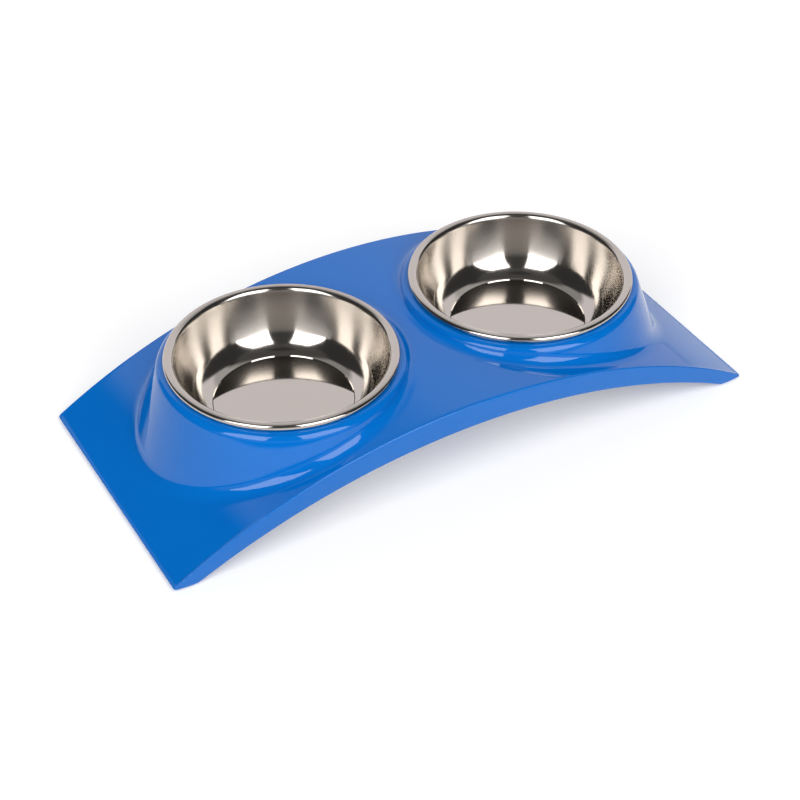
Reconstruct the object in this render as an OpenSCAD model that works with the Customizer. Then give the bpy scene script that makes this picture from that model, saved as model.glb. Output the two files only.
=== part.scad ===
// Double pet bowl: two drawn steel bowls that lift out of the collars of an arched one-piece stand.
// Millimetres and degrees. X runs along the stand, -Y is its front and Z is up. The origin is on the
// floor, under the middle of the stand.

/* [Stand] */
// Length of the stand, end to end
stand_length = 393; // [380:1:430]
// Depth of the stand across its middle, front to back
stand_depth = 178; // [174:1:200]
// How far the long sides bow outwards in the middle
side_bow = 1.5; // [0:0.1:3]
// Height of the top of the arch above the floor
crown_height = 59.5; // [52:0.5:61]
// Height of the upper edge of each end above the floor
tip_height = 3.2; // [2.8:0.1:5]
// Height of the moulded lower edge above the floor
edge_height = 1.2; // [0.8:0.1:1.6]
// Thickness of the moulded wall
wall = 3; // [2.4:0.1:3.6]
// Depth of the front and back skirts below the top of the arch
skirt_depth = 15.8; // [12:0.1:20]
// Length of each end's flat lower edge, from the tip to where the skirt starts to rise
toe_length = 14.5; // [10:0.5:20]
// How far the lower edge rises at the tip
toe_rise = 1; // [0.2:0.1:1.2]
// Height of the curve that blends the toes into the skirts' rising edge
toe_blend = 0.6; // [0.2:0.1:2]
// Height of the inner face of the thicker heel under each end
heel_height = 2.2; // [1.6:0.1:4]
// Radius of the upper edges
edge_round = 1; // [0.6:0.1:1.4]
// Radius of the corners in plan
corner_round = 2.5; // [1.5:0.1:4]

/* [Collars] */
// Distance between the axes of the two bowls
bowl_spacing = 166; // [164:1:176]
// Height of the flat seats above the floor
seat_height = 65; // [64:0.5:71]
// Thickness of the moulding at the seats
seat_thickness = 3.5; // [2.5:0.1:4.5]
// How far each collar stands out past the rim of its bowl
collar_margin = 3.4; // [3:0.1:6]
// Flare of the collars' sides, from the vertical
collar_flare = 19.5; // [12:0.5:24]
// Length of the rounding from the seat over the collar's shoulder
shoulder_leg = 4.4; // [2:0.1:5]
// Length of the hollow rounding from the collar's side into the deck
fillet_leg = 6.5; // [4:0.5:8]
// Gap between a bowl and the edge of its hole
seat_clearance = 0.8; // [0.4:0.1:1.5]
// Chamfer on the upper edge of each hole
seat_chamfer = 0.8; // [0.3:0.1:1.2]

/* [Bowls] */
// Diameter of the rim
rim_diameter = 140; // [134:1:142]
// Height of the rolled edge of the rim
rim_roll = 4; // [3.8:0.1:5]
// Radius of the rolled edge's outer corners
roll_round = 1.8; // [1.2:0.1:1.8]
// Radius of the rolled edge's inner corners
roll_inside = 0.9; // [0.4:0.1:0.9]
// Width of the rolled edge, to where it ends under the rim
roll_width = 3; // [2.8:0.1:3.2]
// Width of the brushed top of the rim, from its outer edge to where it turns down into the bowl
flange_width = 3.2; // [3:0.1:5]
// Radius of the lip, where the rim turns down into the bowl
lip_round = 3.1; // [2.4:0.1:3.4]
// Slope of the side where it meets the lip, from the horizontal
top_slope = 79.5; // [76:0.5:86]
// Slope of the side where its lower, tighter curve gives way to its upper one
middle_slope = 61; // [56:0.5:66]
// Slope of the side where it leaves the edge of the floor
floor_slope = 12; // [6:0.5:20]
// Depth of the bowl from its rim to the edge of its floor
bowl_depth = 35.7; // [32:0.1:40]
// Diameter of the flat floor
floor_diameter = 85.6; // [80:0.2:90]
// Depth of the recess that the flat floor forms
floor_recess = 0.5; // [0.2:0.1:0.8]
// Thickness of the steel sheet
steel = 0.8; // [0.5:0.1:1]

/* [Feet] */
// Diameter of each rubber foot
foot_diameter = 8; // [6:0.5:9]
// Height of each rubber foot
foot_height = 3; // [2.5:0.1:3.5]
// Chamfer round the foot's lower edge
foot_chamfer = 0.5; // [0.2:0.1:0.8]
// Gap between a foot and the side of its socket
foot_clearance = 0.1; // [0.05:0.05:0.3]
// Thickness of the boss round each socket
boss_wall = 1.6; // [1.2:0.1:2]
// Distance from the stand's end to the axis of a foot
foot_end_gap = 15; // [14:0.5:22]
// Distance from the stand's side to the axis of a foot
foot_side_gap = 11; // [10:0.5:20]

/* [Hidden] */
$fn = 96;

// Overrun of the cutting shapes past the faces that they cut
overrun = 1;
// Radius of the shell's inner corners in plan
inner_round = 0.6;
// Largest share of the deck beside a collar that its hollow rounding may take
fillet_share = 0.8;
// Largest share of an edge's thickness that its rounding may take
edge_share = 0.5;

half_length = stand_length / 2;
half_depth = stand_depth / 2;
axis_x = bowl_spacing / 2;
rim_radius = rim_diameter / 2;
floor_radius = floor_diameter / 2;
rim_height = seat_height + rim_roll;

// The arch is one circle through the crown and both tips, seen from the front
arch_sag = crown_height - tip_height;
arch_radius = (half_length * half_length + arch_sag * arch_sag) / (2 * arch_sag);
arch_centre = crown_height - arch_radius;
function arch_z(x, radius) = arch_centre + sqrt(radius * radius - x * x);

// The skirts' lower edge is a flatter circle that blends into the toes, which rise a little to the tips
toe_x = half_length - toe_length;
skirt_low = crown_height - skirt_depth;
skirt_sag = skirt_low - edge_height;
skirt_radius = (toe_x * toe_x + skirt_sag * skirt_sag) / (2 * skirt_sag);
skirt_centre = skirt_low - skirt_radius;
function toe_share(x) = max((abs(x) - toe_x) / toe_length, 0);
function edge_z(x) =
    let (rise = skirt_centre + sqrt(skirt_radius * skirt_radius - x * x) - edge_height)
    edge_height + (rise + sqrt(rise * rise + toe_blend * toe_blend)) / 2
        + toe_rise * toe_share(x) * toe_share(x);

// A collar's side is a cone through this circle, level with the seat, before its shoulder is rounded
side_lean = tan(collar_flare);
side_down = [sin(collar_flare), -cos(collar_flare)];
collar_radius = rim_radius + collar_margin;
// The same cone on the inner skin, level with the underside of the seat
under_seat = seat_height - seat_thickness;
under_radius = collar_radius + side_lean * seat_thickness - wall / cos(collar_flare);
// The roundings of the inner skin follow the outer ones at the wall's thickness
leg_change = wall / tan((90 + collar_flare) / 2);
under_shoulder = max(shoulder_leg - leg_change, inner_round);
under_fillet = fillet_leg + leg_change;

// Numbers of rays and of steps along them
front_rays = 22;
corner_rays = 3;
end_rays = 18;
middle_rays = 20;
shoulder_steps = 4;
fillet_steps = 6;
under_steps = 3;
deck_steps = 3;
round_steps = 3;
// Steps of the search for the circle where a collar's side meets the deck
search_steps = 8;

// Radius at which a side that leaves the seat's level at radius top meets the arch, along direction run
function meeting(top, level, radius, run, n = search_steps) = n == 0
    ? top
    : let (last = meeting(top, level, radius, run, n - 1))
        top + side_lean * (level - arch_z(axis_x + last * run, radius));

// A quadratic curve with ends a and c that leaves both of them towards b
function curve(a, b, c, steps) = [for (i = [0 : steps])
    let (t = i / steps) (1 - t) * (1 - t) * a + 2 * t * (1 - t) * b + t * t * c];

// One ray over a collar and the deck, from the seat to the plan point edge, as radii and heights
function section(reach, run, top, level, radius, shoulder, fillet, shoulder_n, fillet_n) =
    let (
        base = meeting(top, level, radius, run),
        base_z = arch_z(axis_x + base * run, radius),
        side = norm([base - top, level - base_z]),
        fit = min(1, side / (shoulder + fillet)),
        on_deck = base + min(fillet, fillet_share * (reach - base)),
        corner = [top, level],
        low = [base, base_z]
    ) concat(
        curve([top - shoulder, level], corner, corner + side_down * shoulder * fit, shoulder_n),
        curve(low - side_down * fillet * fit, low, [on_deck, arch_z(axis_x + on_deck * run, radius)],
              fillet_n),
        [for (i = [1 : deck_steps])
            let (r = on_deck + (reach - on_deck) * i / deck_steps) [r, arch_z(axis_x + r * run, radius)]]
    );

function ray(edge, top, level, radius, shoulder, fillet, shoulder_n, fillet_n) =
    let (
        out = edge - [axis_x, 0],
        reach = norm(out),
        dir = out / reach
    ) [for (p = section(reach, dir.x, top, level, radius, shoulder, fillet, shoulder_n, fillet_n))
        [axis_x + p.x * dir.x, p.x * dir.y, p.y]];

// Plan outline of one half, from the middle of the front, round the end, to the middle of the back
function arc_points(centre, r, from, to, n) = [for (i = [0 : n - 1])
    let (a = from + (to - from) * i / n) centre + r * [cos(a), sin(a)]];
function line_points(a, b, n) = [for (i = [0 : n - 1]) a + (b - a) * i / n];
// The long sides bow, so every point moves in a little more the nearer it lies to the end
function bowed(p) = [p.x, p.y * (1 - side_bow / half_depth * p.x * p.x / (half_length * half_length))];
function half_outline(x, y, r) = [for (p = concat(
    line_points([0, -y], [x - r, -y], front_rays),
    arc_points([x - r, r - y], r, -90, 0, corner_rays),
    line_points([x, r - y], [x, y - r], end_rays),
    arc_points([x - r, y - r], r, 0, 90, corner_rays),
    line_points([x - r, y], [0, y], front_rays),
    line_points([0, y], [0, -y], middle_rays)
)) bowed(p)];
function outline_at(inset) = half_outline(half_length - inset, half_depth - inset,
                                          max(corner_round - inset, inner_round));
edge_outline = outline_at(edge_round);
// The heel's inner face stands where the underside of the arch is heel_height above the lower edge
under_arch_radius = arch_radius - wall;
heel_top = edge_height + heel_height - arch_centre;
heel_x = sqrt(under_arch_radius * under_arch_radius - heel_top * heel_top);
inner_outline = half_outline(heel_x, half_depth - wall, inner_round);
round_outlines = [for (i = [1 : round_steps]) outline_at(edge_round * (1 - sin(90 * i / round_steps)))];
ray_count = len(edge_outline);
// Rays from 0 to this one end on the outline, and the rest end where the two halves meet
last_edge_ray = ray_count - middle_rays;

// Heights round the edge: the rounding is held to a share of the edge's thickness at the tips
function rounding_at(p) = min(edge_round, edge_share * (arch_z(p.x, arch_radius) - edge_z(p.x)));
function round_point(j, i) =
    let (p = round_outlines[i][j])
    [p.x, p.y, arch_z(edge_outline[j].x, arch_radius) - rounding_at(p) * (1 - cos(90 * (i + 1) / round_steps))];

// All points of one ray: over the outer skin, round the edge, and back under the inner skin
function full_ray(j) =
    let (
        outer = ray(edge_outline[j], collar_radius, seat_height, arch_radius, shoulder_leg, fillet_leg,
                    shoulder_steps, fillet_steps),
        inner = ray(inner_outline[j], under_radius, under_seat, under_arch_radius, under_shoulder,
                    under_fillet, under_steps, under_steps),
        low = round_outlines[round_steps - 1][j],
        heel = inner_outline[j]
    ) concat(
        outer,
        [for (i = [0 : round_steps - 1]) round_point(j, i)],
        [[low.x, low.y, edge_z(low.x)], [heel.x, heel.y, edge_z(heel.x)]],
        [for (i = [len(inner) - 1 : -1 : 0]) inner[i]]
    );
rays = [for (j = [0 : ray_count - 1]) full_ray(j)];
ray_length = len(rays[0]);
outer_count = shoulder_steps + fillet_steps + 2 + deck_steps;
inner_start = outer_count + round_steps + 2;

// The right half's rays come first and the left half's mirror them, sharing the points between them
function shared(j, k) = (j == 0 || j >= last_edge_ray) && k >= outer_count - 1 && k <= inner_start;
function point_id(left, j, k) =
    let (ring = j % ray_count)
    (left && !shared(ring, k) ? ray_count * ray_length : 0) + ring * ray_length + k;
function on_skin(k) = k < outer_count - 1 || k >= inner_start;
function turned(left, face) = left ? face : [for (i = [len(face) - 1 : -1 : 0]) face[i]];
function half_faces(left) = concat(
    [for (j = [0 : ray_count - 1], k = [0 : ray_length - 2])
        if (on_skin(k) || j < last_edge_ray)
            for (face = [[[j, k + 1], [j + 1, k + 1], [j + 1, k]], [[j, k + 1], [j + 1, k], [j, k]]])
                turned(left, [for (p = face) point_id(left, p[0], p[1])])],
    [turned(left, [for (j = [0 : ray_count - 1]) point_id(left, j, 0)]),
     turned(left, [for (j = [ray_count - 1 : -1 : 0]) point_id(left, j, ray_length - 1)])]
);

module shell() {
    polyhedron(
        points = concat([for (r = rays) each r], [for (r = rays, p = r) [-p.x, p.y, p.z]]),
        faces = concat(half_faces(false), half_faces(true)),
        convexity = 8
    );
}

// The hole in a seat lets the bowl's lip and side through and has a chamfered upper edge
lip_centre = [rim_radius - flange_width, -lip_round];
hole_radius = lip_centre.x - lip_round + steel + seat_clearance;
module seat_hole() {
    translate([0, 0, under_seat - overrun])
        cylinder(h = seat_thickness + 2 * overrun, r = hole_radius);
    translate([0, 0, seat_height - seat_chamfer])
        cylinder(h = seat_chamfer + overrun, r1 = hole_radius, r2 = hole_radius + seat_chamfer + overrun);
}

// Each foot sits in a socket in a round boss that hangs from the underside of the deck
foot_radius = foot_diameter / 2;
socket_radius = foot_radius + foot_clearance;
boss_radius = socket_radius + boss_wall;
foot_x = half_length - foot_end_gap;
foot_y = half_depth - foot_side_gap;
module boss() {
    translate([foot_x, foot_y, edge_height])
        cylinder(h = crown_height, r = boss_radius);
}
module under_arch() {
    translate([0, half_depth, arch_centre])
        rotate([90, 0, 0])
            cylinder(h = stand_depth, r = arch_radius - wall / 2, $fn = 360);
}
module socket() {
    translate([foot_x, foot_y, -overrun])
        cylinder(h = foot_height + overrun, r = socket_radius);
}
module at_corners() {
    for (x = [0, 1], y = [0, 1])
        mirror([x, 0, 0])
            mirror([0, y, 0])
                children();
}

module stand() {
    color("#0a68c8")
        difference() {
            union() {
                shell();
                intersection() {
                    at_corners() boss();
                    under_arch();
                }
            }
            for (side = [-1, 1])
                translate([side * axis_x, 0, 0])
                    seat_hole();
            at_corners() socket();
        }
}

// Section of a bowl, from its axis outwards, with its heights counted from the top of its rim.
// The side is two arcs that run into each other and into the lip. Between the three slopes, their
// radii are the pair that carries it from the edge of the floor to the lip.
function out_of(slope) = [sin(slope), -cos(slope)];
floor_edge = [floor_radius, -bowl_depth];
side_span = lip_centre - lip_round * out_of(top_slope) - floor_edge;
lower_turn = out_of(middle_slope) - out_of(floor_slope);
upper_turn = out_of(top_slope) - out_of(middle_slope);
lower_round = cross(side_span, upper_turn) / cross(lower_turn, upper_turn);
upper_round = cross(lower_turn, side_span) / cross(lower_turn, upper_turn);
lower_centre = floor_edge - lower_round * out_of(floor_slope);
upper_centre = lower_centre + (lower_round - upper_round) * out_of(middle_slope);
curve_steps = 8;
lip_steps = 6;
corner_steps = 4;
function arc(centre, r, from, to, n, first = 0) = [for (i = [first : n])
    let (a = from + (to - from) * i / n) centre + r * [cos(a), sin(a)]];
// The bowl's inner face when thickness is 0, and its outer face when thickness is the sheet's
function bowl_face(thickness) = concat(
    [[0, -bowl_depth - floor_recess - thickness],
     [floor_radius - floor_recess, -bowl_depth - floor_recess - thickness]],
    arc(lower_centre, lower_round + thickness, floor_slope - 90, middle_slope - 90, curve_steps),
    arc(upper_centre, upper_round + thickness, middle_slope - 90, top_slope - 90, curve_steps, 1),
    arc(lip_centre, lip_round - thickness, top_slope + 90, 90, lip_steps, 1)
);
// The rolled edge turns down outside the rim and back in under it, the depth of the sheet inwards
function roll(depth, r, from, mid, to) = concat(
    arc([rim_radius - depth - r, -depth - r], r, from, mid, corner_steps),
    arc([rim_radius - depth - r, depth + r - rim_roll], r, mid, to, corner_steps)
);
module bowl_section() {
    roll_out = roll(0, roll_round, 90, 0, -90);
    roll_in = roll(steel, roll_inside, 90, 0, -90);
    under = bowl_face(steel);
    polygon(concat(
        bowl_face(0),
        roll_out,
        [[rim_radius - roll_width, -rim_roll], [rim_radius - roll_width, steel - rim_roll]],
        [for (i = [len(roll_in) - 1 : -1 : 0]) roll_in[i]],
        [for (i = [len(under) - 1 : -1 : 0]) under[i]]
    ));
}
module bowl(side) {
    color("#c9c7c3")
        translate([side * axis_x, 0, rim_height])
            rotate_extrude()
                bowl_section();
}

module foot(x, y) {
    color("#2b2c2e")
        translate([x * foot_x, y * foot_y, 0])
            rotate_extrude()
                polygon([
                    [0, 0],
                    [foot_radius - foot_chamfer, 0],
                    [foot_radius, foot_chamfer],
                    [foot_radius, foot_height],
                    [0, foot_height]
                ]);
}

stand();
bowl(-1);  // bowl_left
bowl(1);  // bowl_right
foot(-1, -1);  // foot_front_left
foot(1, -1);  // foot_front_right
foot(-1, 1);  // foot_back_left
foot(1, 1);  // foot_back_right
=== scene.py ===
# Double pet bowl: two polished steel bowls that lift out of the collars of an arched blue stand.
# Metres. X runs along the stand, -Y is its front and Z is up. The floor is at Z 0.
import math

import bmesh
import bpy
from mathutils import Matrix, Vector


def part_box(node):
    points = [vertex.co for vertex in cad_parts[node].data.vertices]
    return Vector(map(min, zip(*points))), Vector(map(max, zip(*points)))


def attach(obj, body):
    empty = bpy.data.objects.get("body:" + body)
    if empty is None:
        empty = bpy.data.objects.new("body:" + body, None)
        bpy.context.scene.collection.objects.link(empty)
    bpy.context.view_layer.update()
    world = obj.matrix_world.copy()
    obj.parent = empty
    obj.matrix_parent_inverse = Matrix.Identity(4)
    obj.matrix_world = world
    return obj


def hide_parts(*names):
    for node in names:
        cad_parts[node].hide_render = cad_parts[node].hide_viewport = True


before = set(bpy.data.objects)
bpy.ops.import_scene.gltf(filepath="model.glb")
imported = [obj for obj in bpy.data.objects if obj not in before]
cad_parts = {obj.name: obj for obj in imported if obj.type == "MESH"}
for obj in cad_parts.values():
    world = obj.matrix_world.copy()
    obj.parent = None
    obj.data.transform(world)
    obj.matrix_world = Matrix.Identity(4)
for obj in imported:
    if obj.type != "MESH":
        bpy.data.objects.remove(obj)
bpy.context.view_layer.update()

# The stand
# One shell of glossy blue melamine, pressed hot in a polished mould: an arched deck with a thin
# skirt down both long sides, and two flared collars that run into it through a hollow curve. It is
# open below, with a round boss under each corner that holds a foot.
mm = 0.001
stand_low, stand_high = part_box("stand")
bowl_low, bowl_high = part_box("bowl_right")
half_length = stand_high.x
half_depth = stand_high.y
seat_height = stand_high.z
axis_x = round((bowl_low.x + bowl_high.x) / 2, 4)
rim_radius = round((bowl_high.x - bowl_low.x) / 2, 4)

# The arch, its edges, and the skirts, which narrow to a toe at each end
crown_height = 59.5 * mm
tip_height = 3.2 * mm
edge_height = 1.2 * mm
side_bow = 1.5 * mm
wall = 3 * mm
edge_round = 1 * mm
low_round = 0.4 * mm
corner_round = 2.5 * mm
stand_crease = math.radians(35)
inner_corner = 0.6 * mm
heel_height = 2.2 * mm
skirt_depth = 15.8 * mm
toe_length = 14.5 * mm
toe_rise = 1 * mm
toe_blend = 0.6 * mm

# The collars: their sides, shoulders, hollow curves and seats
collar_radius = rim_radius + 3.4 * mm
collar_flare = math.radians(19.5)
shoulder_leg = 4.4 * mm
fillet_leg = 6.5 * mm
seat_thickness = 3.5 * mm
seat_chamfer = 0.8 * mm
hole_radius = 65.3 * mm
fillet_share = 0.8
edge_share = 0.5

# Two circles seen from the front: the deck's, and the flatter one of the skirts' lower edge
arch_sag = crown_height - tip_height
arch_radius = (half_length ** 2 + arch_sag ** 2) / (2 * arch_sag)
arch_centre = crown_height - arch_radius
toe_x = half_length - toe_length
skirt_sag = crown_height - skirt_depth - edge_height
skirt_radius = (toe_x ** 2 + skirt_sag ** 2) / (2 * skirt_sag)
skirt_centre = crown_height - skirt_depth - skirt_radius

# How many points or rings each part is drawn with
side_points = 72
corner_points = 4
deck_rings = 14
fillet_rings = 12
side_rings = 5
shoulder_rings = 10
round_rings = 5
skirt_rings = 3
search_steps = 8
weld = 0.01 * mm


def arch_z(x, drop=0):
    """Height of the arch at x, or of a skin that lies drop below it."""
    return arch_centre + math.sqrt((arch_radius - drop) ** 2 - x * x)


def lower_edge(x):
    """Height of the skirts' lower edge, a flatter circle that blends into a toe at each end."""
    rise = skirt_centre + math.sqrt(skirt_radius ** 2 - x * x) - edge_height
    toe = max((abs(x) - toe_x) / toe_length, 0)
    return edge_height + (rise + math.hypot(rise, toe_blend)) / 2 + toe_rise * toe * toe


def begin(name):
    """Names the new primitive and opens it for modelling."""
    piece = bpy.context.object
    piece.name = name
    piece.data.name = name
    bpy.ops.object.mode_set(mode="EDIT")
    bpy.ops.mesh.select_mode(type="EDGE")
    return piece


def pick(test):
    """Selects the open piece's edges that pass the test, which is given the edge and its middle."""
    bpy.ops.mesh.select_all(action="DESELECT")
    mesh = bmesh.from_edit_mesh(bpy.context.object.data)
    for edge in mesh.edges:
        if test(edge, (edge.verts[0].co + edge.verts[1].co) / 2):
            edge.select_set(True)
    bmesh.update_edit_mesh(bpy.context.object.data)


def shape(place):
    """Moves each selected point of the open piece to where place says for it."""
    mesh = bmesh.from_edit_mesh(bpy.context.object.data)
    for point in mesh.verts:
        if point.select:
            point.co = place(point.co.copy())
    bmesh.update_edit_mesh(bpy.context.object.data)


def draw(place):
    """Extrudes the selected edges and moves each new point to where place says for it."""
    bpy.ops.mesh.extrude_edges_move()
    shape(place)


def apply_modifier(piece, kind, **settings):
    """Gives a piece one modifier and applies it."""
    bpy.ops.object.select_all(action="DESELECT")
    piece.select_set(True)
    bpy.context.view_layer.objects.active = piece
    bpy.ops.object.modifier_add(type=kind)
    modifier = piece.modifiers[-1]
    for setting, value in settings.items():
        setattr(modifier, setting, value)
    bpy.ops.object.modifier_apply(modifier=modifier.name)


def bent(a, b, c, share):
    """A point of the curve that leaves a towards b and comes into c from b."""
    return a * (1 - share) ** 2 + b * (2 * share * (1 - share)) + c * share ** 2


def half_outline(name, length, depth, corner):
    """A ring of edges round the right half of the stand in plan, with its outer corners rounded."""
    bpy.ops.object.select_all(action="DESELECT")
    bpy.ops.mesh.primitive_plane_add(size=1)
    piece = begin(name)
    bpy.ops.transform.resize(value=(length, 2 * depth, 1))
    bpy.ops.transform.translate(value=(length / 2, 0, 0))
    pick(lambda edge, middle: abs(middle.x - length) < mm)
    bpy.ops.mesh.bevel(offset=corner, segments=corner_points, affect="VERTICES")
    bpy.ops.mesh.select_all(action="SELECT")
    bpy.ops.mesh.delete(type="ONLY_FACE")
    pick(lambda edge, middle: edge.calc_length() > 2 * corner)
    bpy.ops.mesh.subdivide(number_cuts=side_points)
    bpy.ops.mesh.select_all(action="SELECT")
    bow_share = side_bow / half_depth / half_length ** 2
    shape(lambda p: Vector((p.x, p.y * (1 - bow_share * p.x ** 2), 0)))
    return piece


def half_skin(name, length, depth, corner, drop, top, level, shoulder, fillet, hole):
    """One skin of the right half, drawn in from its outline, over the deck and up the collar."""
    piece = half_outline(name, length, depth, corner)
    lean = math.tan(collar_flare)
    down = Vector((math.sin(collar_flare), -math.cos(collar_flare)))
    high = Vector((top, level))

    def radius(p):
        """A point's distance from the collar's axis."""
        return math.hypot(p.x - axis_x, p.y)

    def on_ray(p, spot):
        """The point at spot's radius and height, on the ray from the collar's axis through p."""
        share = spot.x / radius(p)
        return Vector((axis_x + (p.x - axis_x) * share, p.y * share, spot.y))

    def section(p):
        """Where the hollow curve leaves the deck, its corner, its top and the shoulder's start."""
        run = (p.x - axis_x) / radius(p)
        base = top
        for step in range(search_steps):
            base = top + lean * (level - arch_z(axis_x + base * run, drop))
        low = Vector((base, arch_z(axis_x + base * run, drop)))
        fit = min(1, (high - low).length / (shoulder + fillet))
        room = axis_x / -run - base if run < 0 else half_length
        reach = base + min(fillet, fillet_share * room)
        deck = Vector((reach, arch_z(axis_x + reach * run, drop)))
        return deck, low, low - down * fillet * fit, high + down * shoulder * fit

    def toward_deck(p, share):
        """A share of the way from p to where the hollow curve leaves the deck, along the arch."""
        reach = radius(p) + (section(p)[0].x - radius(p)) * share
        moved = on_ray(p, Vector((reach, 0)))
        moved.z = arch_z(moved.x, drop)
        return moved

    shape(lambda p: Vector((p.x, p.y, arch_z(p.x, drop))))
    # Each ring goes one share of the way that is left
    for left in range(deck_rings, 0, -1):
        draw(lambda p: toward_deck(p, 1 / left))
    for i in range(1, fillet_rings + 1):
        draw(lambda p: on_ray(p, bent(*section(p)[:3], i / fillet_rings)))
    for i in range(1, side_rings + 1):
        draw(lambda p: on_ray(p, section(p)[2].lerp(section(p)[3], i / side_rings)))
    for i in range(1, shoulder_rings + 1):
        seat = high - Vector((shoulder, 0))
        draw(lambda p: on_ray(p, bent(section(p)[3], high, seat, i / shoulder_rings)))
    draw(lambda p: on_ray(p, Vector((hole, level))))
    bpy.ops.object.mode_set(mode="OBJECT")
    apply_modifier(piece, "MIRROR", use_axis=(True, False, False), merge_threshold=weld)
    return piece


def is_open(edge):
    """True for an edge with a face on one side only, at the rim of a skin."""
    return len(edge.link_faces) == 1


def by_hole(middle, side=0):
    """True for a point near a collar's hole, on the given side if side isn't 0."""
    near = math.hypot(abs(middle.x) - axis_x, middle.y) < collar_radius
    return near and middle.x * side >= 0


under_lean = wall / math.cos(collar_flare)
under_radius = collar_radius + math.tan(collar_flare) * seat_thickness - under_lean
leg_change = wall / math.tan((math.pi / 2 + collar_flare) / 2)
heel_drop = edge_height + heel_height - arch_centre
heel_x = math.sqrt((arch_radius - wall) ** 2 - heel_drop ** 2)
stand = half_skin(
    "stand_shell", half_length - edge_round, half_depth - edge_round, corner_round - edge_round,
    0, collar_radius, seat_height, shoulder_leg, fillet_leg, hole_radius + seat_chamfer,
)
under_skin = half_skin(
    "stand_under", heel_x, half_depth - wall, inner_corner,
    wall, under_radius, seat_height - seat_thickness,
    shoulder_leg - leg_change, fillet_leg + leg_change, hole_radius,
)


def rounded_edge(p, old_inset, new_inset, turn):
    """The outline's next ring on the rounded upper edge, which is thinner towards the tips."""
    x = p.x * (half_length - new_inset) / (half_length - old_inset)
    y = p.y * (half_depth - new_inset) / (half_depth - old_inset)
    inner_x = x * (half_length - edge_round) / (half_length - new_inset)
    top = arch_z(inner_x)
    rounding = min(edge_round, edge_share * (top - lower_edge(inner_x)))
    return Vector((x, y, top - rounding * (1 - math.cos(turn))))


def lower_rounding(p, old_inset, new_inset, lift):
    """The outline's next ring on the small rounding of the skirts' lower edge."""
    x = p.x * (half_length - new_inset) / (half_length - old_inset)
    y = p.y * (half_depth - new_inset) / (half_depth - old_inset)
    return Vector((x, y, lower_edge(x) + lift))


bpy.ops.object.select_all(action="DESELECT")
stand.select_set(True)
bpy.context.view_layer.objects.active = stand
bpy.ops.object.mode_set(mode="EDIT")
pick(lambda edge, middle: is_open(edge) and by_hole(middle))
draw(lambda p: Vector((
    p.x + (math.copysign(axis_x, p.x) - p.x) * seat_chamfer / (hole_radius + seat_chamfer),
    p.y * hole_radius / (hole_radius + seat_chamfer),
    p.z - seat_chamfer,
)))
pick(lambda edge, middle: is_open(edge) and not by_hole(middle))
inset = edge_round
for i in range(1, round_rings + 1):
    turn = math.pi / 2 * i / round_rings
    next_inset = edge_round * (1 - math.sin(turn))
    draw(lambda p: rounded_edge(p, inset, next_inset, turn))
    inset = next_inset
for left in range(skirt_rings, 0, -1):
    draw(lambda p: Vector((p.x, p.y, p.z + (lower_edge(p.x) + low_round - p.z) / left)))
for i in range(1, round_rings + 1):
    turn = math.pi / 2 * i / round_rings
    next_inset = low_round * (1 - math.cos(turn))
    draw(lambda p: lower_rounding(p, inset, next_inset, low_round * (1 - math.sin(turn))))
    inset = next_inset
bpy.ops.object.mode_set(mode="OBJECT")

bpy.ops.object.select_all(action="DESELECT")
under_skin.select_set(True)
bpy.context.view_layer.objects.active = under_skin
bpy.ops.object.mode_set(mode="EDIT")
pick(lambda edge, middle: is_open(edge) and not by_hole(middle))
for left in range(skirt_rings, 0, -1):
    draw(lambda p: Vector((p.x, p.y, p.z + (lower_edge(p.x) - p.z) / left)))
bpy.ops.object.mode_set(mode="OBJECT")

stand.select_set(True)
bpy.context.view_layer.objects.active = stand
bpy.ops.object.join()
bpy.ops.object.mode_set(mode="EDIT")
for side in (-1, 1):
    pick(lambda edge, middle: is_open(edge) and by_hole(middle, side))
    bpy.ops.mesh.bridge_edge_loops()
pick(lambda edge, middle: is_open(edge))
bpy.ops.mesh.bridge_edge_loops()
bpy.ops.mesh.select_all(action="SELECT")
bpy.ops.mesh.normals_make_consistent(inside=False)
bpy.ops.object.mode_set(mode="OBJECT")

# A boss: its socket's ceiling comes first, then its socket, its lower face and its side
foot_low, foot_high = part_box("foot_back_right")
foot_radius = (foot_high.x - foot_low.x) / 2
foot_height = foot_high.z
foot_x = (foot_low.x + foot_high.x) / 2
foot_y = (foot_low.y + foot_high.y) / 2
socket_gap = 0.1 * mm
socket_radius = foot_radius + socket_gap
boss_wall = 1.6 * mm
boss_radius = socket_radius + boss_wall
boss_round = 0.4 * mm
boss_points = 64


def round_foot(p, radius, height):
    """A ring's point drawn out or in to a radius from the foot's axis, and to a height."""
    share = radius / math.hypot(p.x - foot_x, p.y - foot_y)
    return Vector((foot_x + (p.x - foot_x) * share, foot_y + (p.y - foot_y) * share, height))


bpy.ops.object.select_all(action="DESELECT")
bpy.ops.mesh.primitive_circle_add(vertices=boss_points, radius=socket_radius, fill_type="NGON")
boss = begin("stand_boss")
bpy.ops.transform.translate(value=(foot_x, foot_y, foot_height))
pick(lambda edge, middle: True)
draw(lambda p: Vector((p.x, p.y, edge_height)))
draw(lambda p: round_foot(p, boss_radius - boss_round, edge_height))
draw(lambda p: round_foot(p, boss_radius, edge_height + boss_round))
draw(lambda p: Vector((p.x, p.y, arch_z(p.x, wall / 2))))
bpy.ops.mesh.edge_face_add()
bpy.ops.mesh.select_all(action="SELECT")
bpy.ops.mesh.normals_make_consistent(inside=False)
bpy.ops.object.mode_set(mode="OBJECT")
apply_modifier(boss, "MIRROR", use_axis=(True, True, False))
stand.select_set(True)
bpy.context.view_layer.objects.active = stand
bpy.ops.object.join()
bpy.ops.object.shade_smooth_by_angle(angle=stand_crease)


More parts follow.
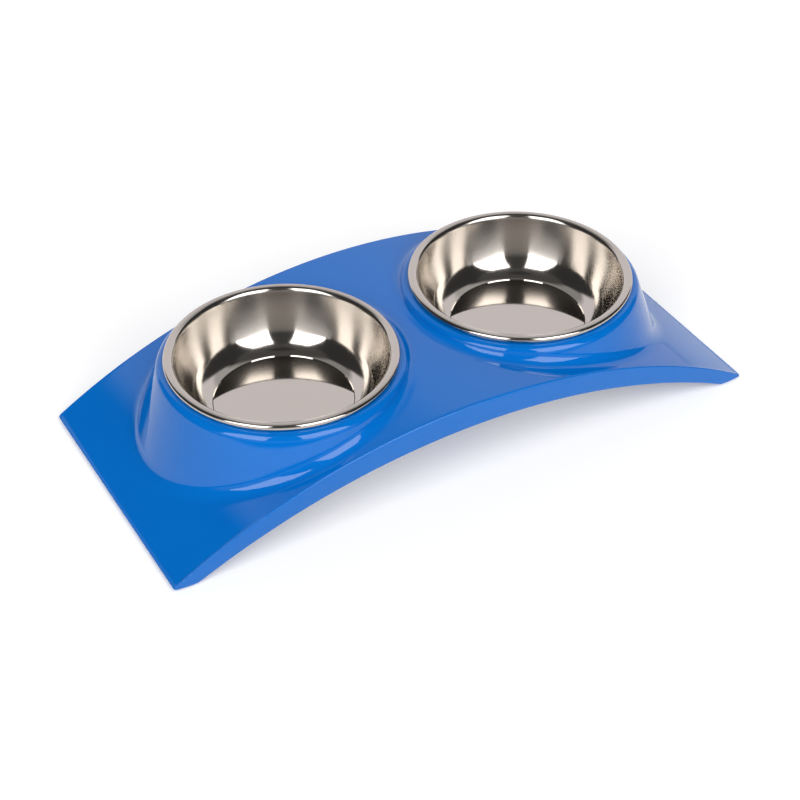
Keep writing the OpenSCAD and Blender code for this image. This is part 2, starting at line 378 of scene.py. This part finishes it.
def colour(text):
    """The linear colour of an sRGB hex value such as #336699."""
    parts = [int(text[i:i + 2], 16) / 255 for i in (1, 3, 5)]
    return [c / 12.92 if c <= 0.04045 else ((c + 0.055) / 1.055) ** 2.4 for c in parts] + [1]


def add_node(tree, kind, inputs, **settings):
    """Adds a node with its settings, and links or sets its inputs."""
    node = tree.nodes.new(kind)
    for setting, value in settings.items():
        setattr(node, setting, value)
    for name, value in inputs.items():
        if isinstance(value, bpy.types.NodeSocket):
            tree.links.new(value, node.inputs[name])
        else:
            node.inputs[name].default_value = value
    return node


def new_material(name):
    """An empty node material, and its shader."""
    material = bpy.data.materials.new(name)
    material.use_nodes = True
    return material, material.node_tree, material.node_tree.nodes["Principled BSDF"]


# Pressed melamine: a hard, wet-looking gloss over an even blue, with the faint waviness that the
# moulding powder leaves as it cures. It mirrors the floor and the softboxes in pale blue streaks.
melamine_deep = "#0065BA"
melamine_light = "#006AC1"
melamine_ior = 1.43
best_gloss = 0.03
least_gloss = 0.06
wave_size = 6 * mm
wave_depth = 0.05 * mm
wave_strength = 0.02
cloud_size = 45 * mm
melamine, tree, shader = new_material("pressed_melamine_blue")
coords = add_node(tree, "ShaderNodeTexCoord", {})
wave = add_node(tree, "ShaderNodeTexNoise", {
    "Vector": coords.outputs["Object"], "Scale": 1 / wave_size, "Detail": 1,
})
cloud = add_node(tree, "ShaderNodeTexNoise", {
    "Vector": coords.outputs["Object"], "Scale": 1 / cloud_size, "Detail": 3,
})
blue = add_node(tree, "ShaderNodeMix", {
    "Factor": cloud.outputs["Fac"], "A": colour(melamine_deep), "B": colour(melamine_light),
}, data_type="RGBA")
tree.links.new(blue.outputs[2], shader.inputs["Base Color"])
gloss = add_node(tree, "ShaderNodeMapRange", {
    "Value": cloud.outputs["Fac"], "To Min": best_gloss, "To Max": least_gloss,
})
tree.links.new(gloss.outputs["Result"], shader.inputs["Roughness"])
bump = add_node(tree, "ShaderNodeBump", {
    "Height": wave.outputs["Fac"], "Strength": wave_strength, "Distance": wave_depth,
})
tree.links.new(bump.outputs["Normal"], shader.inputs["Normal"])
shader.inputs["IOR"].default_value = melamine_ior
stand.data.materials.clear()
stand.data.materials.append(melamine)
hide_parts("stand")
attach(stand, "stand")

# The bowls
# Each is one disc of stainless steel, drawn deep, polished inside and rolled over at its edge. Its
# flat rim is left brushed in rings, and it only rests on its seat.
rim_height = bowl_high.z
rim_roll = 4 * mm
roll_round = 1.8 * mm
roll_width = 3 * mm
flange_width = 3.2 * mm
lip_round = 3.1 * mm
bowl_depth = 35.7 * mm
floor_radius = 42.8 * mm
floor_recess = 0.5 * mm
steel_thickness = 0.8 * mm
bowl_crease = math.radians(30)
# Slopes of the side, from the horizontal: at the lip, where its two curves meet, and at the floor
top_slope = math.radians(79.5)
middle_slope = math.radians(61)
floor_slope = math.radians(12)
floor_points = 6
lower_points = 26
upper_points = 18
lip_points = 16
flange_points = 2
roll_points = 10
spin_steps = 288


def out_of(slope):
    """The direction out of the bowl through its side, where the side has this slope."""
    return Vector((math.sin(slope), -math.cos(slope)))


def arc(centre, r, start, stop, points):
    """Points on an arc of the side, as radius and height, between two slopes, without the first."""
    return [centre + r * out_of(start + (stop - start) * i / points) for i in range(1, points + 1)]


lip_centre = Vector((rim_radius - flange_width, -lip_round))
floor_edge = Vector((floor_radius, -bowl_depth))
side_span = lip_centre - lip_round * out_of(top_slope) - floor_edge
lower_turn = out_of(middle_slope) - out_of(floor_slope)
upper_turn = out_of(top_slope) - out_of(middle_slope)
lower_round = side_span.cross(upper_turn) / lower_turn.cross(upper_turn)
upper_round = lower_turn.cross(side_span) / lower_turn.cross(upper_turn)
lower_centre = floor_edge - lower_round * out_of(floor_slope)
upper_centre = lower_centre + (lower_round - upper_round) * out_of(middle_slope)
roll_centre = Vector((rim_radius - roll_round, -roll_round))
roll_end = Vector((rim_radius - roll_width, -rim_roll))
flange = roll_centre.x - lip_centre.x
floor_step = (floor_radius - floor_recess) / floor_points
bowl_section = (
    [Vector((floor_step * i, -bowl_depth - floor_recess)) for i in range(floor_points + 1)]
    + [floor_edge]
    + arc(lower_centre, lower_round, floor_slope, middle_slope, lower_points)
    + arc(upper_centre, upper_round, middle_slope, top_slope, upper_points)
    + arc(lip_centre, -lip_round, top_slope, 0, lip_points)
    + [Vector((lip_centre.x + flange * i / flange_points, 0)) for i in range(1, flange_points + 1)]
    + arc(roll_centre, roll_round, math.pi, math.pi / 2, roll_points)
    + [Vector((rim_radius, roll_round - rim_roll))]
    + arc(Vector((roll_centre.x, roll_round - rim_roll)), roll_round, math.pi / 2, 0, roll_points)
    + [roll_end]
)


def spin_bowl(name, x):
    """Draws the section point by point and spins it round the bowl's axis."""
    bpy.ops.object.select_all(action="DESELECT")
    bpy.ops.mesh.primitive_plane_add(size=mm)
    piece = begin(name)
    bpy.ops.mesh.select_mode(type="VERT")
    bpy.ops.mesh.merge(type="CENTER")
    bpy.ops.transform.translate(value=(x, 0, rim_height + bowl_section[0].y))
    for spot, last in zip(bowl_section[1:], bowl_section):
        step = spot - last
        bpy.ops.mesh.extrude_vertices_move(TRANSFORM_OT_translate={"value": (step.x, 0, step.y)})
    bpy.ops.mesh.select_all(action="SELECT")
    bpy.ops.mesh.spin(steps=spin_steps, angle=2 * math.pi, center=(x, 0, 0), axis=(0, 0, 1))
    bpy.ops.mesh.select_all(action="SELECT")
    bpy.ops.mesh.remove_doubles(threshold=weld)
    bpy.ops.mesh.normals_make_consistent(inside=False)
    bpy.ops.object.mode_set(mode="OBJECT")
    return piece


for side, node in ((-1, "bowl_left"), (1, "bowl_right")):
    bowl = spin_bowl(node + "_pressing", side * axis_x)
    apply_modifier(bowl, "SOLIDIFY", thickness=steel_thickness, offset=-1, use_even_offset=True)
    bpy.ops.object.shade_smooth_by_angle(angle=bowl_crease)
    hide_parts(node)
    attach(bowl, node)

# Polished stainless steel: mirror bright inside, with the faint rings of the polishing wheel, which
# blur what it mirrors across them. The top of the rim is satin, brushed in finer rings from the
# lip's inner turn to where it rolls down.
steel_tint = "#BEB8B1"
brush_inside = 3.6 * mm
brush_outside = 0.8 * mm
brush_edge = 0.3 * mm
brushed_roughness = 0.22
steel, tree, shader = new_material("polished_stainless_steel")
coords = add_node(tree, "ShaderNodeTexCoord", {})
parts = add_node(tree, "ShaderNodeSeparateXYZ", {"Vector": coords.outputs["Object"]})
beside = add_node(tree, "ShaderNodeMath", {0: parts.outputs["X"]}, operation="ABSOLUTE")
from_axis = add_node(tree, "ShaderNodeMath", {
    0: beside.outputs[0], 1: axis_x,
}, operation="SUBTRACT")
flat = add_node(tree, "ShaderNodeCombineXYZ", {
    "X": from_axis.outputs[0], "Y": parts.outputs["Y"],
})
radial = add_node(tree, "ShaderNodeVectorMath", {0: flat.outputs[0]}, operation="LENGTH")
brushed_from = add_node(tree, "ShaderNodeMapRange", {
    "Value": radial.outputs["Value"],
    "From Min": rim_radius - brush_inside - brush_edge, "From Max": rim_radius - brush_inside,
})
brushed_to = add_node(tree, "ShaderNodeMapRange", {
    "Value": radial.outputs["Value"], "To Min": 1, "To Max": 0,
    "From Min": rim_radius - brush_outside - brush_edge, "From Max": rim_radius - brush_outside,
})
brushed_top = add_node(tree, "ShaderNodeMapRange", {
    "Value": parts.outputs["Z"],
    "From Min": rim_height - 2 * brush_edge, "From Max": rim_height - brush_edge,
})
satin = add_node(tree, "ShaderNodeMath", {
    0: brushed_from.outputs["Result"], 1: brushed_to.outputs["Result"],
}, operation="MULTIPLY")
satin = add_node(tree, "ShaderNodeMath", {
    0: satin.outputs[0], 1: brushed_top.outputs["Result"],
}, operation="MULTIPLY")
# The side is duller than the floor, most of all near its top, because the wheel reaches it less
# well. The lip's turn is brighter again.
floor_roughness = 0.04
side_roughness = 0.11
top_extra = 0.08
foot_from = floor_radius - mm
foot_to = floor_radius + 6 * mm
side_from = rim_radius - 15 * mm
side_to = rim_radius - 9 * mm
lip_from = rim_radius - 5.6 * mm
lip_to = rim_radius - 5 * mm
foot_polish = add_node(tree, "ShaderNodeMapRange", {
    "Value": radial.outputs["Value"], "To Min": floor_roughness, "To Max": side_roughness,
    "From Min": foot_from, "From Max": foot_to,
})
side_polish = add_node(tree, "ShaderNodeMapRange", {
    "Value": radial.outputs["Value"], "To Min": 0, "To Max": top_extra,
    "From Min": side_from, "From Max": side_to,
})
lip_polish = add_node(tree, "ShaderNodeMapRange", {
    "Value": radial.outputs["Value"], "To Min": 0, "To Max": -top_extra,
    "From Min": lip_from, "From Max": lip_to,
})
polish = add_node(tree, "ShaderNodeMath", {
    0: foot_polish.outputs["Result"], 1: side_polish.outputs["Result"],
}, operation="ADD")
polish = add_node(tree, "ShaderNodeMath", {
    0: polish.outputs[0], 1: lip_polish.outputs["Result"],
}, operation="ADD")
rough = add_node(tree, "ShaderNodeMix", {
    "Factor": satin.outputs[0], "A": polish.outputs[0], "B": brushed_roughness,
})
tree.links.new(rough.outputs[0], shader.inputs["Roughness"])
rings = add_node(tree, "ShaderNodeTangent", {}, direction_type="RADIAL", axis="Z")
tree.links.new(rings.outputs["Tangent"], shader.inputs["Tangent"])
# The blur is stretched, and turned by a quarter so that it runs across the rings
ring_stretch = 0.85
quarter_turn = 0.25
shader.inputs["Anisotropic"].default_value = ring_stretch
shader.inputs["Anisotropic Rotation"].default_value = quarter_turn
shader.inputs["Base Color"].default_value = colour(steel_tint)
shader.inputs["Metallic"].default_value = 1
for node in ("bowl_left", "bowl_right"):
    bowl = bpy.data.objects[node + "_pressing"]
    bowl.data.materials.clear()
    bowl.data.materials.append(steel)

# The feet
# Four plugs of dark rubber, pressed into the bosses so that the stand doesn't slide. Each has a
# rounded lower edge and a shallow dish in its face.
foot_round = 0.5 * mm
dish_radius = 2.2 * mm
dish_depth = 0.25 * mm
foot_points = 64
foot_crease = math.radians(30)

bpy.ops.object.select_all(action="DESELECT")
bpy.ops.mesh.primitive_circle_add(vertices=foot_points, radius=foot_radius, fill_type="NGON")
foot = begin("foot_back_right_plug")
bpy.ops.transform.translate(value=(foot_x, foot_y, foot_height))
pick(lambda edge, middle: True)
for i in range(round_rings + 1):
    turn = math.pi / 2 * i / round_rings
    height = foot_round * (1 - math.sin(turn))
    radius = foot_radius - foot_round * (1 - math.cos(turn))
    draw(lambda p: round_foot(p, radius, height))
draw(lambda p: round_foot(p, dish_radius + dish_depth, 0))
draw(lambda p: round_foot(p, dish_radius, dish_depth))
bpy.ops.mesh.edge_face_add()
bpy.ops.mesh.select_all(action="SELECT")
bpy.ops.mesh.normals_make_consistent(inside=False)
bpy.ops.object.mode_set(mode="OBJECT")
bpy.ops.object.shade_smooth_by_angle(angle=foot_crease)

# Moulded rubber: matt and nearly black, with a fine grain of about half a millimetre.
rubber_dark = "#26272A"
rubber_light = "#323336"
rubber_roughness = 0.75
grain_size = 0.5 * mm
grain_depth = 0.05 * mm
grain_strength = 0.3
rubber, tree, shader = new_material("moulded_rubber_dark")
coords = add_node(tree, "ShaderNodeTexCoord", {})
grain = add_node(tree, "ShaderNodeTexNoise", {
    "Vector": coords.outputs["Object"], "Scale": 1 / grain_size, "Detail": 2,
})
dark = add_node(tree, "ShaderNodeMix", {
    "Factor": grain.outputs["Fac"], "A": colour(rubber_dark), "B": colour(rubber_light),
}, data_type="RGBA")
tree.links.new(dark.outputs[2], shader.inputs["Base Color"])
bump = add_node(tree, "ShaderNodeBump", {
    "Height": grain.outputs["Fac"], "Strength": grain_strength, "Distance": grain_depth,
})
tree.links.new(bump.outputs["Normal"], shader.inputs["Normal"])
shader.inputs["Roughness"].default_value = rubber_roughness
foot.data.materials.clear()
foot.data.materials.append(rubber)

for node in ("foot_front_left", "foot_front_right", "foot_back_left", "foot_back_right"):
    plug = foot
    if node != "foot_back_right":
        low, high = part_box(node)
        plug = foot.copy()
        plug.data = foot.data.copy()
        plug.name = node + "_plug"
        bpy.context.collection.objects.link(plug)
        bpy.ops.object.select_all(action="DESELECT")
        plug.select_set(True)
        bpy.context.view_layer.objects.active = plug
        bpy.ops.object.mode_set(mode="EDIT")
        bpy.ops.mesh.select_all(action="SELECT")
        middle = (low + high) / 2
        bpy.ops.transform.translate(value=(middle.x - foot_x, middle.y - foot_y, 0))
        bpy.ops.object.mode_set(mode="OBJECT")
    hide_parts(node)
    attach(plug, "stand")

# The studio
# A floor of white paper in a dim room with a pale back and right wall, and two tall softboxes, one
# on each side of the camera, which stands where the photograph was taken.
floor_size = 60
bpy.ops.object.select_all(action="DESELECT")
bpy.ops.mesh.primitive_plane_add(size=floor_size)
floor = bpy.context.object
floor.name = "floor"

# Matt paper: white with a soft shadow. It glows a little, for the camera and in mirror images, to
# show as white.
paper_white = "#F2F2F2"
paper_lift = 0.2
paper_roughness = 0.9
paper, tree, shader = new_material("white_paper_floor")
shader.inputs["Base Color"].default_value = colour(paper_white)
shader.inputs["Roughness"].default_value = paper_roughness
shader.inputs["Emission Color"].default_value = colour("#FFFFFF")
ray = add_node(tree, "ShaderNodeLightPath", {})
seen = add_node(tree, "ShaderNodeMath", {
    0: ray.outputs["Is Camera Ray"], 1: ray.outputs["Is Glossy Ray"],
}, operation="ADD")
seen = add_node(tree, "ShaderNodeMath", {
    0: seen.outputs[0], 1: ray.outputs["Is Transmission Ray"],
}, operation="ADD")
lift = add_node(tree, "ShaderNodeMath", {
    0: seen.outputs[0], 1: paper_lift,
}, operation="MULTIPLY")
tree.links.new(lift.outputs[0], shader.inputs["Emission Strength"])
floor.data.materials.append(paper)

scene = bpy.context.scene
world = bpy.data.worlds.new("studio")
world.use_nodes = True
scene.world = world
tree = world.node_tree
room_dark = 0.05
look = add_node(tree, "ShaderNodeTexCoord", {}).outputs["Generated"]
across = add_node(tree, "ShaderNodeVectorMath", {0: look, 1: (1, 1, 0)}, operation="MULTIPLY")
across = add_node(tree, "ShaderNodeVectorMath", {0: across.outputs[0]}, operation="NORMALIZE")
rise = add_node(tree, "ShaderNodeSeparateXYZ", {"Vector": look}).outputs["Z"]
room = add_node(tree, "ShaderNodeRGB", {}).outputs[0]
room.default_value = (room_dark, room_dark, room_dark, 1)


def towards(azimuth):
    """The level direction at an azimuth, in degrees clockwise from the back."""
    turned = math.radians(azimuth)
    return Vector((math.sin(turned), math.cos(turned), 0))


def ramp(value, low, high, start=0, stop=1):
    """A smooth step of a value from start to stop."""
    node = add_node(tree, "ShaderNodeMapRange", {
        "Value": value, "From Min": low, "From Max": high, "To Min": start, "To Max": stop,
    }, interpolation_type="SMOOTHSTEP")
    return node.outputs["Result"]


# Each patch of the room: its middle and half its width as azimuths, its lower and upper edges as
# elevations, how soft its edges are, all in degrees, then its colour and its brightness. A sliver
# keeps the ends of a ramp apart where an edge would fall on the zenith or go right round.
sliver = 0.001
patches = (
    (0, 180, -90, -4, 4, "#FFFFFF", 0.1),
    (0, 180, 66, 80, 6, "#FFFFFF", 0.1),
    (24, 40, 32, 58, 8, "#FFFFFF", 0.4),
    (62, 14, 30, 54, 6, "#FFFFFF", 0.6),
    (27, 47, -40, 41, 6, "#FFFBFF", 1.02),
    (170, 22, 8, 18, 5, "#FFFFFF", 0.7),
    (242, 20, 8, 18, 5, "#FFFFFF", 0.6),
    (207, 14, 8, 19, 5, "#FFFAF4", 0.35),
    (207, 14, 23, 66, 4, "#FFFFFF", 0.07),
)
for azimuth, half_width, low, high, soft, tint, brightness in patches:
    facing = add_node(tree, "ShaderNodeVectorMath", {
        0: across.outputs[0], 1: towards(azimuth),
    }, operation="DOT_PRODUCT").outputs["Value"]
    side = math.cos(math.radians(min(half_width + soft, 180))) - sliver
    bottom = math.sin(math.radians(max(low - soft, -90))) - sliver
    top = math.sin(math.radians(min(high + soft, 90))) + sliver
    wide = ramp(facing, side, math.cos(math.radians(half_width)))
    above = ramp(rise, bottom, math.sin(math.radians(low)))
    below = ramp(rise, math.sin(math.radians(high)), top, 1, 0)
    both = add_node(tree, "ShaderNodeMath", {0: above, 1: below}, operation="MULTIPLY")
    mask = add_node(tree, "ShaderNodeMath", {0: both.outputs[0], 1: wide}, operation="MULTIPLY")
    paint = [c * brightness for c in colour(tint)[:3]] + [1]
    room = add_node(tree, "ShaderNodeMix", {
        "Factor": mask.outputs[0], "A": room, "B": paint,
    }, data_type="RGBA").outputs[2]
tree.links.new(room, tree.nodes["Background"].inputs["Color"])

box_distance = 4
box_radiance = 5
# Each softbox stands upright: its name, the azimuth of its middle, half its width, and its lower
# and upper edges as elevations, all in degrees as seen from the object.
softboxes = (
    ("softbox_right", 171.5, 20.5, 21, 66),
    ("softbox_left", 241.5, 19, 22, 66),
)
for name, azimuth, half_width, low, high in softboxes:
    data = bpy.data.lights.new(name, "AREA")
    data.shape = "RECTANGLE"
    data.size = 2 * box_distance * math.tan(math.radians(half_width))
    box_low = box_distance * math.tan(math.radians(low))
    box_high = box_distance * math.tan(math.radians(high))
    data.size_y = box_high - box_low
    data.energy = box_radiance * math.pi * data.size * data.size_y
    lamp = bpy.data.objects.new(name, data)
    scene.collection.objects.link(lamp)
    direction = towards(azimuth)
    lamp.location = direction * box_distance + Vector((0, 0, (box_low + box_high) / 2))
    lamp.rotation_euler = direction.to_track_quat("Z", "Y").to_euler()

camera_place = (-0.4497, -0.7901, 0.7305)
camera_tilt = math.radians(51.19)
camera_turn = math.radians(-29.49)
camera_data = bpy.data.cameras.new("camera")
camera = bpy.data.objects.new("camera", camera_data)
scene.collection.objects.link(camera)
camera.location = camera_place
camera.rotation_euler = (camera_tilt, 0, camera_turn)
camera_data.lens = 83.4
camera_data.sensor_width = 36
camera_data.clip_start = 0.01
scene.camera = camera
scene.view_settings.view_transform = "Standard"
